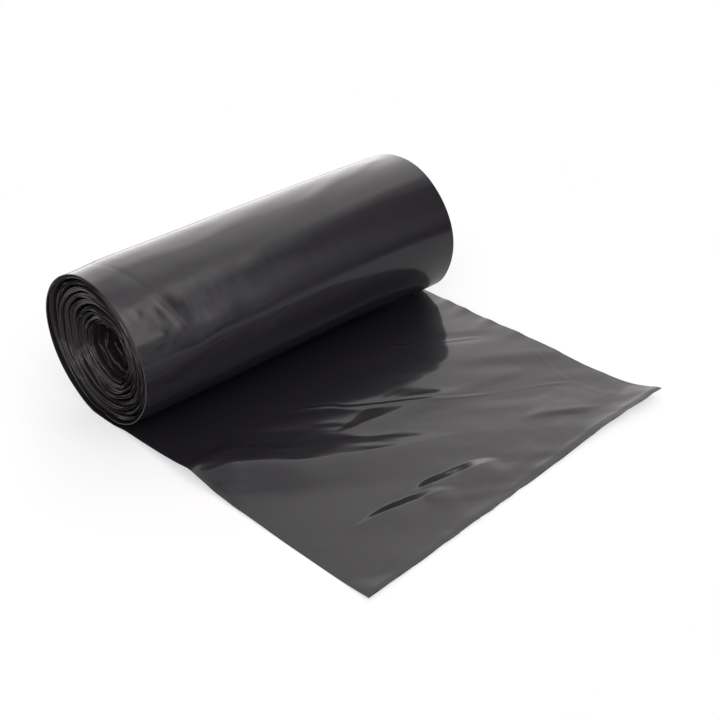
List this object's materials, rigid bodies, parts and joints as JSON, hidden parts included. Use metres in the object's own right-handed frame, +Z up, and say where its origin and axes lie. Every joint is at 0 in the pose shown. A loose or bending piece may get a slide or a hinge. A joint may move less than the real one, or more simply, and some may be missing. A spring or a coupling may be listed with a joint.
{
  "type": "bin bag roll",
  "caption": "Coreless roll of black film bin bags lying on its side, with its free end unrolled over the table to the torn edge.",
  "frame": {"origin": "on the table, under the middle of the roll's axis, at the middle of its flat spot", "axes": "+Y along the roll's axis, +X the way the tail runs, +Z up"},
  "size_m": [0.2438, 0.241, 0.0901],
  "materials": {
    "film": "glossy blown film, near black"
  },
  "bodies": {
    "root": {"bag_roll": "film"}
  },
  "joints": []
}
